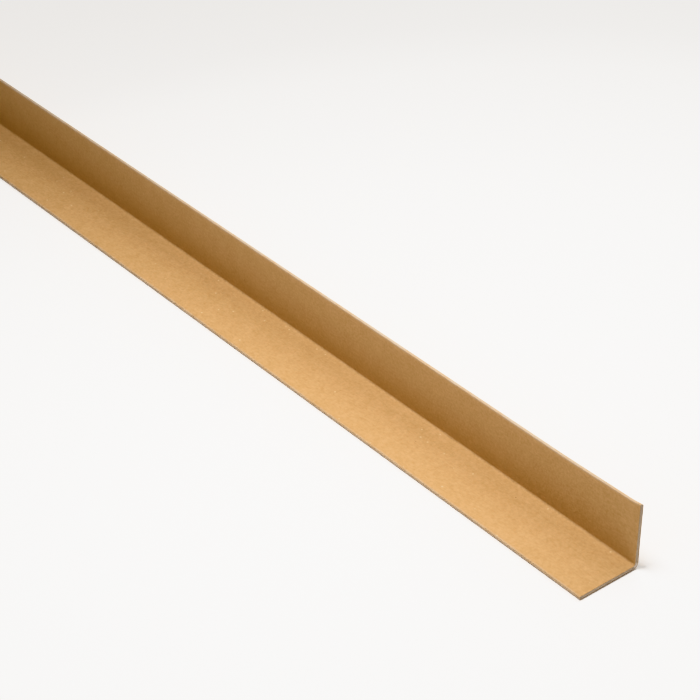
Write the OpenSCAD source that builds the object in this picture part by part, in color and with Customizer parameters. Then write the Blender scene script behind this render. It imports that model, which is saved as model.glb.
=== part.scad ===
// Edge protector for the corners of pallet loads: a strip of laminated paper board, folded
// lengthwise into an angle and cut to length. It lies on one leg, with the other standing.
// X runs along the fold, Y across the lying leg and Z up. The origin is under the middle.

/* [Board] */
// Length of the board along its fold
board_len = 1000; // [100:10:2400]
// Thickness of the glued plies
board_t = 3; // [2:0.5:6]

/* [Legs] */
// Width of the lying leg, from the back of the fold to its long edge
base_w = 50; // [30:1:100]
// Height of the standing leg, from under the fold to its long edge
upright_h = 50; // [30:1:100]

/* [Fold] */
// Radius inside the fold, which its outside follows one thickness further out
fold_r = 1.5; // [0.5:0.5:6]

/* [Long edges] */
// Radius on the inner face, where the liner turns in
lip_r = 0.6; // [0.2:0.1:1]
// Flat left on the edge, between the lip and the roll of the liner over the outer face
edge_flat = 0.4; // [0.2:0.1:0.8]

/* [Hidden] */
$fn = 64;
kraft = "#c4985f";
// Radius outside the fold
fold_outer_r = fold_r + board_t;
// Radius on the outer face of a long edge, which takes the rest of the thickness
roll_r = board_t - lip_r - edge_flat;
// How far a corner reaches past the two faces that it rounds
overrun = 1;

// What lies between a square corner at the origin and a round of radius r inside it
module corner(r) {
    difference() {
        translate([-overrun, -overrun]) square(r + overrun);
        translate([r, r]) circle(r);
    }
}

// One leg in section, from the fold's back at the origin to its rolled long edge
module leg(width) {
    difference() {
        square([width, board_t]);
        translate([width, 0]) mirror([1, 0]) corner(roll_r);
        translate([width, board_t]) rotate(180) corner(lip_r);
    }
}

// The folded board in section, with its lying leg along +X and its standing leg along +Y
module section() {
    difference() {
        union() {
            leg(base_w);
            mirror([1, -1]) leg(upright_h);
            translate([board_t, board_t]) corner(fold_r);
        }
        corner(fold_outer_r);
    }
}

module edge_board() {
    color(kraft)
        translate([-board_len / 2, base_w / 2, 0])
            rotate([90, 0, 90])
                linear_extrude(board_len)
                    mirror([1, 0]) section();
}

edge_board();
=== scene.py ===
import math

import bmesh
import bpy
from mathutils import Matrix, Vector


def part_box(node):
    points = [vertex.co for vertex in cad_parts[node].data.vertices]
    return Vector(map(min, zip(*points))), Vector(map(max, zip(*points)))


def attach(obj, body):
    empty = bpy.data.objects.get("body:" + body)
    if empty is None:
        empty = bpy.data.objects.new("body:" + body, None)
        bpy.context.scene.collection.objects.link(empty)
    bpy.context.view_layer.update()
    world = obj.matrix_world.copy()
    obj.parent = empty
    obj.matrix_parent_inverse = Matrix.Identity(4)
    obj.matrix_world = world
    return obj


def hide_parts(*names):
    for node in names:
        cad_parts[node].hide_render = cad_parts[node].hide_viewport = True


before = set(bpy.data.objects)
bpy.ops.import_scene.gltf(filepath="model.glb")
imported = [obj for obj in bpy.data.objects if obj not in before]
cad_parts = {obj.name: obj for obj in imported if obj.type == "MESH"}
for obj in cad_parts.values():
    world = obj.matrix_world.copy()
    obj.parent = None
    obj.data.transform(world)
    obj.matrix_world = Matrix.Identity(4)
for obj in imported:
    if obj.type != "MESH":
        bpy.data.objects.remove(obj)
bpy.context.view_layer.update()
bpy.ops.object.select_all(action="DESELECT")

# Folded board
# A strip of kraft liners over grey recycled plies, glued wet and pressed over a die into an angle.
# The outer liner turns over both long edges, so they are round outside and nearly square inside.
MM = 0.001
tolerance = 0.01 * MM
board_t = 3.0 * MM
fold_inner_r = 1.5 * MM
fold_outer_r = fold_inner_r + board_t
lip_r = 0.6 * MM
edge_flat = 0.4 * MM
roll_r = board_t - lip_r - edge_flat
low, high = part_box("edge_board")
middle = (low + high) / 2
inner_y = high.y - board_t


def select(kind, test):
    """Selects the vertices, edges or faces in edit mode whose every corner passes a test of its place."""
    bpy.ops.mesh.select_mode(type=kind)
    bpy.ops.mesh.select_all(action="DESELECT")
    edited = bmesh.from_edit_mesh(bpy.context.edit_object.data)
    items = {"VERT": edited.verts, "EDGE": edited.edges, "FACE": edited.faces}[kind]
    for item in items:
        corners = [item] if kind == "VERT" else item.verts
        item.select_set(all(test(corner.co) for corner in corners))
    edited.select_flush_mode()
    bmesh.update_edit_mesh(bpy.context.edit_object.data)


def round_edge(y, z, radius, segments):
    """Rounds the edge that runs the board's length at this place of its section."""
    select("EDGE", lambda place: abs(place.y - y) < tolerance and abs(place.z - z) < tolerance)
    bpy.ops.mesh.bevel(offset=radius, offset_type="OFFSET", segments=segments, profile=0.5)


def cut_through(place, normal):
    """Adds a ring of edges where a plane passes through the whole board."""
    bpy.ops.mesh.select_all(action="SELECT")
    bpy.ops.mesh.bisect(plane_co=place, plane_no=normal)


# The lying leg, and the standing leg pulled up out of its back strip
bpy.ops.mesh.primitive_cube_add(
    size=1,
    location=(middle.x, middle.y, board_t / 2),
    scale=(high.x - low.x, high.y - low.y, board_t),
)
board = bpy.context.active_object
board.name = "folded_board"
board.data.name = "folded_board"
bpy.ops.object.transform_apply(location=True, rotation=True, scale=True)
bpy.ops.object.mode_set(mode="EDIT")
cut_through((0, inner_y, 0), (0, 1, 0))
select("FACE", lambda place: place.y > inner_y - tolerance and place.z > board_t - tolerance)
bpy.ops.mesh.extrude_region_move(TRANSFORM_OT_translate={"value": (0, 0, high.z - board_t)})
bpy.ops.mesh.select_all(action="SELECT")
bpy.ops.mesh.dissolve_limited(angle_limit=math.radians(1))

# The fold and the two long edges
round_edge(high.y, low.z, fold_outer_r, segments=14)
round_edge(inner_y, board_t, fold_inner_r, segments=8)
round_edge(low.y, low.z, roll_r, segments=8)
round_edge(low.y, board_t, lip_r, segments=4)
round_edge(high.y, high.z, roll_r, segments=8)
round_edge(inner_y, high.z, lip_r, segments=4)

# Lines along both legs, and rings round the board that stand closer in the last of the near end
line_step = 5 * MM
line_count = 8
for count in range(1, line_count + 1):
    cut_through((0, low.y + count * line_step, 0), (0, 1, 0))
    cut_through((0, 0, high.z - count * line_step), (0, 0, 1))
ring_step = 10 * MM
close_step = 2 * MM
close_count = 4
rings = [low.x + count * ring_step for count in range(1, round((high.x - low.x) / ring_step))]
rings += [high.x - count * close_step for count in range(1, close_count + 1)]
for ring_x in rings:
    cut_through((ring_x, 0, 0), (1, 0, 0))


# Kraft liner
# Brown unbleached paper straight off the machine, unprinted and matt. The eye gets a cloudy tan with
# faint fibre streaks along the board, a few pale and dark flecks, and paler edges: rubbed wear, and on
# the standing leg's top edge also a painted highlight.
def linear(colour):
    """The linear colour that a socket takes, from an sRGB hex value."""
    parts = [int(colour[place:place + 2], 16) / 255 for place in (1, 3, 5)]
    return [c / 12.92 if c <= 0.04045 else ((c + 0.055) / 1.055) ** 2.4 for c in parts] + [1.0]


def add(tree, kind, inputs=(), **settings):
    """Adds a node with its settings, and links or sets each input named, which go by identifier."""
    made = tree.nodes.new(kind)
    for name, value in settings.items():
        setattr(made, name, value)
    sockets = {socket.identifier: socket for socket in made.inputs}
    for name, value in dict(inputs).items():
        if isinstance(value, bpy.types.NodeSocket):
            tree.links.new(value, sockets[name])
        else:
            sockets[name].default_value = value
    return made


liner = bpy.data.materials.new("kraft_liner")
liner.use_nodes = True
tree = liner.node_tree
place = add(tree, "ShaderNodeTexCoord").outputs["Object"]
cloud_size = 9 * MM
floc_size = 2 * MM
# Real fibres are about 2 mm by 0.03 mm, so they are drawn as bundles wide enough to show
fibre_length = 5 * MM
fibre_width = 1.1 * MM
fibre_depth = 0.18 * MM
fibre_share = 0.5
cloud_share = 0.35
tone_low = 0.6
tone_high = 1.25
clouds = add(tree, "ShaderNodeTexNoise", {"Vector": place, "Scale": 1 / cloud_size, "Detail": 2})
flocs = add(tree, "ShaderNodeTexNoise", {"Vector": place, "Scale": 1 / floc_size, "Detail": 3})
along = add(
    tree,
    "ShaderNodeMapping",
    {"Vector": place, "Scale": (1 / fibre_length, 1 / fibre_width, 1 / fibre_width)},
)
fibres = add(tree, "ShaderNodeTexNoise", {"Vector": along.outputs[0], "Scale": 1, "Detail": 2})
paper = add(
    tree,
    "ShaderNodeMath",
    {"Value": fibres.outputs[0], "Value_001": fibre_share, "Value_002": flocs.outputs[0]},
    operation="MULTIPLY_ADD",
)
cloudy = add(
    tree,
    "ShaderNodeMath",
    {"Value": clouds.outputs[0], "Value_001": cloud_share, "Value_002": paper.outputs[0]},
    operation="MULTIPLY_ADD",
)
tone = add(
    tree,
    "ShaderNodeMapRange",
    {"Value": cloudy.outputs[0], "From Min": tone_low, "From Max": tone_high},
)
colour = add(
    tree,
    "ShaderNodeMix",
    {
        "Factor_Float": tone.outputs[0],
        "A_Color": linear("#B08A5A"),
        "B_Color": linear("#C29C6E"),
    },
    data_type="RGBA",
).outputs[2]


def flecks(under, fleck_colour, spacing, size, share):
    """Lays flecks of one colour and size over another colour, in a share of the cells of a scatter."""
    scatter = add(tree, "ShaderNodeTexVoronoi", {"Vector": place, "Scale": 1 / spacing})
    spot = add(
        tree,
        "ShaderNodeMapRange",
        {
            "Value": scatter.outputs["Distance"],
            "From Min": 0.5 * size / spacing,
            "From Max": 0.25 * size / spacing,
        },
    )
    chosen = add(
        tree,
        "ShaderNodeMath",
        {"Value": scatter.outputs["Color"], "Value_001": share},
        operation="LESS_THAN",
    )
    mask = add(
        tree,
        "ShaderNodeMath",
        {"Value": spot.outputs[0], "Value_001": chosen.outputs[0]},
        operation="MULTIPLY",
    )
    over = add(
        tree,
        "ShaderNodeMix",
        {"Factor_Float": mask.outputs[0], "A_Color": under, "B_Color": linear(fleck_colour)},
        data_type="RGBA",
    )
    return over.outputs[2]


# Pale flecks of bleached fibre, and fewer and smaller dark ones
colour = flecks(colour, "#CFB489", spacing=6 * MM, size=1.7 * MM, share=0.3)
colour = flecks(colour, "#8C6A45", spacing=11 * MM, size=1.1 * MM, share=0.3)

# Paler edges: the two long edges and the back of the fold are paler, in patches. This is rubbed wear,
# and on the standing leg's top edge also a painted highlight.
pale_reach = 1.6 * MM
pale_patch = 9 * MM
patch_low = 0.3
patch_high = 0.6
least_pale = 0.4
axes = add(tree, "ShaderNodeSeparateXYZ", {"Vector": place})
pale_bands = [
    add(
        tree,
        "ShaderNodeMapRange",
        {"Value": axes.outputs[axis], "From Min": edge + reach, "From Max": edge, "To Max": paleness},
    )
    for axis, edge, reach, paleness in (
        ("Y", low.y, pale_reach, 0.6),
        ("Z", high.z, -pale_reach, 1.0),
        ("Y", high.y, -fold_outer_r, 1.0),
        ("Z", low.z, fold_outer_r, 1.0),
    )
]
edges = add(
    tree,
    "ShaderNodeMath",
    {"Value": pale_bands[0].outputs[0], "Value_001": pale_bands[1].outputs[0]},
    operation="MAXIMUM",
)
fold = add(
    tree,
    "ShaderNodeMath",
    {"Value": pale_bands[2].outputs[0], "Value_001": pale_bands[3].outputs[0]},
    operation="MULTIPLY",
)
wear_and_highlight = add(
    tree,
    "ShaderNodeMath",
    {"Value": edges.outputs[0], "Value_001": fold.outputs[0]},
    operation="MAXIMUM",
)
patches = add(tree, "ShaderNodeTexNoise", {"Vector": place, "Scale": 1 / pale_patch, "Detail": 3})
patch = add(
    tree,
    "ShaderNodeMapRange",
    {
        "Value": patches.outputs[0],
        "From Min": patch_low,
        "From Max": patch_high,
        "To Min": least_pale,
    },
)
patchy_wear_and_highlight = add(
    tree,
    "ShaderNodeMath",
    {"Value": wear_and_highlight.outputs[0], "Value_001": patch.outputs[0]},
    operation="MULTIPLY",
)
# The pale colour goes on as rubbed wear, and along the standing leg's top edge as a painted highlight too
colour = add(
    tree,
    "ShaderNodeMix",
    {"Factor_Float": patchy_wear_and_highlight.outputs[0], "A_Color": colour, "B_Color": linear("#B9A68F")},
    data_type="RGBA",
).outputs[2]
# The liner is drawn tight over the long edges, which flattens its fibres there
flattening = 2.0
tight = add(
    tree,
    "ShaderNodeMath",
    {"Value": edges.outputs[0], "Value_001": -flattening, "Value_002": 1.0},
    operation="MULTIPLY_ADD",
    use_clamp=True,
)
relief = add(
    tree,
    "ShaderNodeBump",
    {"Height": paper.outputs[0], "Strength": tight.outputs[0], "Distance": fibre_depth},
)
smoothest = 0.75
roughest = 0.95
dull = add(
    tree,
    "ShaderNodeMapRange",
    {"Value": flocs.outputs[0], "To Min": smoothest, "To Max": roughest},
)
shader = tree.nodes["Principled BSDF"]
shader.inputs["Specular IOR Level"].default_value = 0.3
tree.links.new(colour, shader.inputs["Base Color"])
tree.links.new(dull.outputs[0], shader.inputs["Roughness"])
tree.links.new(relief.outputs[0], shader.inputs["Normal"])
board.data.materials.append(liner)

# Cut ends
# A blade shears the dry strip to length: the liners stay flush and the softer plies crumble back
# a little between them, with darker gaps where the glue has let go.
liner_t = 0.35 * MM
ply_count = 4
ply_pitch = (board_t - 2 * liner_t) / ply_count
gap_t = 0.10 * MM
step_t = 0.02 * MM
ply_drop = 0.10 * MM
gap_drop = 0.35 * MM
core_drop = 0.05 * MM

# Sheared grey board: dull grey-brown recycled fibre in layers round the fold, with dark glue lines
plies = bpy.data.materials.new("sheared_plies")
plies.use_nodes = True
tree = plies.node_tree
place = add(tree, "ShaderNodeAttribute", attribute_name="as_folded").outputs["Vector"]
fluff_size = 0.7 * MM
fluff_depth = 0.15 * MM
wander = 0.25 * MM
glue_fade = 1.2 * gap_t
glue_core = 0.4 * gap_t
from_fold = add(
    tree,
    "ShaderNodeMapping",
    {"Vector": place, "Location": (0, fold_outer_r - high.y, fold_outer_r), "Scale": (0, 1, -1)},
)
past_fold = add(
    tree,
    "ShaderNodeVectorMath",
    {"Vector": from_fold.outputs[0]},
    operation="MAXIMUM",
)
round_fold = add(
    tree,
    "ShaderNodeVectorMath",
    {"Vector": past_fold.outputs[0]},
    operation="LENGTH",
)
fluff = add(tree, "ShaderNodeTexNoise", {"Vector": place, "Scale": 1 / fluff_size, "Detail": 3})
wandering = add(
    tree,
    "ShaderNodeMath",
    {"Value": fluff.outputs[0], "Value_001": wander, "Value_002": round_fold.outputs["Value"]},
    operation="MULTIPLY_ADD",
)
from_glue = add(
    tree,
    "ShaderNodeMath",
    {"Value": wandering.outputs[0], "Value_001": fold_outer_r - liner_t + wander / 2},
    operation="SUBTRACT",
)
to_glue = add(
    tree,
    "ShaderNodeMath",
    {"Value": from_glue.outputs[0], "Value_001": ply_pitch / 2},
    operation="PINGPONG",
)
glue = add(
    tree,
    "ShaderNodeMapRange",
    {"Value": to_glue.outputs[0], "From Min": glue_fade, "From Max": glue_core},
)
board_colour = add(
    tree,
    "ShaderNodeMix",
    {
        "Factor_Float": fluff.outputs[0],
        "A_Color": linear("#B7A28A"),
        "B_Color": linear("#DDC9AF"),
    },
    data_type="RGBA",
)
glued_colour = add(
    tree,
    "ShaderNodeMix",
    {
        "Factor_Float": glue.outputs[0],
        "A_Color": board_colour.outputs[2],
        "B_Color": linear("#907E6D"),
    },
    data_type="RGBA",
)
# The near corner of the fold has taken a knock, which left its torn fibres pale
knock = (high.x, high.y - 0.6 * board_t, 0.75 * board_t)
knock_reach = 2.8 * MM
knock_heart = 0.3 * knock_reach
from_knock = add(
    tree,
    "ShaderNodeVectorMath",
    {"Vector": place, "Vector_001": knock},
    operation="DISTANCE",
)
knocked = add(
    tree,
    "ShaderNodeMapRange",
    {"Value": from_knock.outputs["Value"], "From Min": knock_reach, "From Max": knock_heart},
)
end_colour = add(
    tree,
    "ShaderNodeMix",
    {
        "Factor_Float": knocked.outputs[0],
        "A_Color": glued_colour.outputs[2],
        "B_Color": linear("#E0D1C0"),
    },
    data_type="RGBA",
)
torn = add(
    tree,
    "ShaderNodeBump",
    {"Height": fluff.outputs[0], "Strength": 1.0, "Distance": fluff_depth},
)
shader = tree.nodes["Principled BSDF"]
shader.inputs["Roughness"].default_value = 0.95
shader.inputs["Specular IOR Level"].default_value = 0.2
tree.links.new(end_colour.outputs[2], shader.inputs["Base Color"])
tree.links.new(torn.outputs[0], shader.inputs["Normal"])
board.data.materials.append(plies)

# From outside in: the liner's rim, a ply set back, a gap where the glue has let go, and the core.
# An inset crowds the corners of the small roundings, so those are merged.
plies_slot = 1
liner_merge = 0.20 * MM
ply_merge = 0.15 * MM
for end_x in (low.x, high.x):
    select("FACE", lambda place: abs(place.x - end_x) < tolerance)
    bpy.ops.mesh.dissolve_faces()
    bpy.ops.mesh.inset(thickness=liner_t)
    bpy.ops.mesh.remove_doubles(threshold=liner_merge)
    board.active_material_index = plies_slot
    bpy.ops.object.material_slot_assign()
    bpy.ops.mesh.inset(thickness=step_t, depth=-ply_drop)
    bpy.ops.mesh.inset(thickness=ply_pitch - step_t - gap_t / 2)
    bpy.ops.mesh.remove_doubles(threshold=ply_merge)
    bpy.ops.mesh.inset(thickness=step_t, depth=ply_drop - gap_drop)
    bpy.ops.mesh.inset(thickness=gap_t - 2 * step_t)
    bpy.ops.mesh.inset(thickness=step_t, depth=gap_drop - core_drop)
bpy.ops.object.mode_set(mode="OBJECT")

# The plies keep the places they had when the board was folded, and so follow it where it is bent
as_folded = board.data.attributes.new("as_folded", "FLOAT_VECTOR", "POINT")
for vertex, folded in zip(board.data.vertices, as_folded.data):
    folded.vector = vertex.co

# Knocked near end
# The standing leg has been knocked outwards at the near end: it leans a little over its last stretch
# and flicks out in its last few millimetres. It turns about the fold, whose foot stays on the floor.
lean_reach = 70 * MM
lean_top = 1.4 * MM
lean_curve = 1.2
flick_reach = 10 * MM
flick_top = 0.8 * MM
flick_curve = 2
# A ring is taken wide enough to hold the plies that are set back in the cut end
ring_reach = 0.5 * MM
bpy.ops.object.mode_set(mode="EDIT")
for ring_x in rings + [high.x]:
    from_end = high.x - ring_x
    if from_end < lean_reach:
        outwards = lean_top * (1 - from_end / lean_reach) ** lean_curve
        outwards += flick_top * max(1 - from_end / flick_reach, 0) ** flick_curve
        select(
            "VERT",
            lambda place: abs(place.x - ring_x) < ring_reach and place.z > fold_outer_r - tolerance,
        )
        bpy.ops.transform.rotate(
            value=outwards / (high.z - fold_outer_r),
            orient_axis="X",
            center_override=(ring_x, high.y - fold_outer_r, fold_outer_r),
        )
bpy.ops.object.mode_set(mode="OBJECT")
bpy.ops.object.shade_smooth_by_angle(angle=math.radians(30))

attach(board, "root")
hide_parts("edge_board")

# Floor
# The plain top of a white studio table, an opal sheet that the board lies on. It is lit from below,
# faintly under the softboxes and more past their reach, so the table stays pale all over.
floor_size = 24
floor_gap = 0.15 * MM
bpy.ops.mesh.primitive_plane_add(size=floor_size, location=(0, 0, -floor_gap))
floor = bpy.context.active_object
floor.name = "studio_floor"
# Opal sheet: a matt white that glows a little and keeps shadows pale
opal = bpy.data.materials.new("opal_sheet")
opal.use_nodes = True
tree = opal.node_tree
place = add(tree, "ShaderNodeTexCoord").outputs["Object"]
under_lights = (0.3, 0.1, 0)
faint_within = 0.6
full_past = 1.4
faint_glow = 0.15
full_glow = 0.7
from_lights = add(
    tree,
    "ShaderNodeVectorMath",
    {"Vector": place, "Vector_001": under_lights},
    operation="DISTANCE",
)
glow = add(
    tree,
    "ShaderNodeMapRange",
    {
        "Value": from_lights.outputs["Value"],
        "From Min": faint_within,
        "From Max": full_past,
        "To Min": faint_glow,
        "To Max": full_glow,
    },
)
shader = tree.nodes["Principled BSDF"]
shader.inputs["Base Color"].default_value = linear("#F7F8F9")
shader.inputs["Roughness"].default_value = 0.9
shader.inputs["Emission Color"].default_value = linear("#FFFFFF")
tree.links.new(glow.outputs[0], shader.inputs["Emission Strength"])
floor.data.materials.append(opal)

# Studio light
# Two softboxes over the near half of the board, a strong one just in front of it and a weaker one
# behind, hung low, so their light falls off towards the far end. The warm room fills the shade,
# and a neutral tone curve keeps the paper's own hue.
world = bpy.data.worlds.new("studio")
world.use_nodes = True
room = world.node_tree.nodes["Background"]
room.inputs["Color"].default_value = linear("#FFE2BA")
room.inputs["Strength"].default_value = 0.11
bpy.context.scene.world = world
for name, place, size, power in (
    ("overhead_softbox", (0.3, -0.14, 0.87), 0.28, 9.6),
    ("back_softbox", (0.28, 0.49, 0.92), 0.56, 5.45),
):
    bpy.ops.object.light_add(type="AREA", location=place)
    softbox = bpy.context.active_object
    softbox.name = name
    softbox.rotation_euler = Vector((0, -place[1], -place[2])).to_track_quat("-Z", "Y").to_euler()
    softbox.data.size = size
    softbox.data.energy = power
bpy.context.scene.view_settings.view_transform = "Khronos PBR Neutral"

# Camera
# At the photo's viewing angle: in front of the board's near end, looking down along it through a
# long lens, with a slight roll.
camera_data = bpy.data.cameras.new("camera")
camera = bpy.data.objects.new("camera", camera_data)
bpy.context.scene.collection.objects.link(camera)
camera_data.sensor_width = 36
camera_data.lens = 110.605
camera.location = (1.2392, -0.7395, 0.8659)
degrees_left = 53.540
degrees_down = 33.471
degrees_rolled = -2.271
turn = Matrix.Rotation(math.radians(degrees_left), 3, "Z")
tilt = Matrix.Rotation(math.radians(90 - degrees_down), 3, "X")
roll = Matrix.Rotation(math.radians(degrees_rolled), 3, "Z")
camera.rotation_euler = (turn @ tilt @ roll).to_euler()
bpy.context.scene.camera = camera
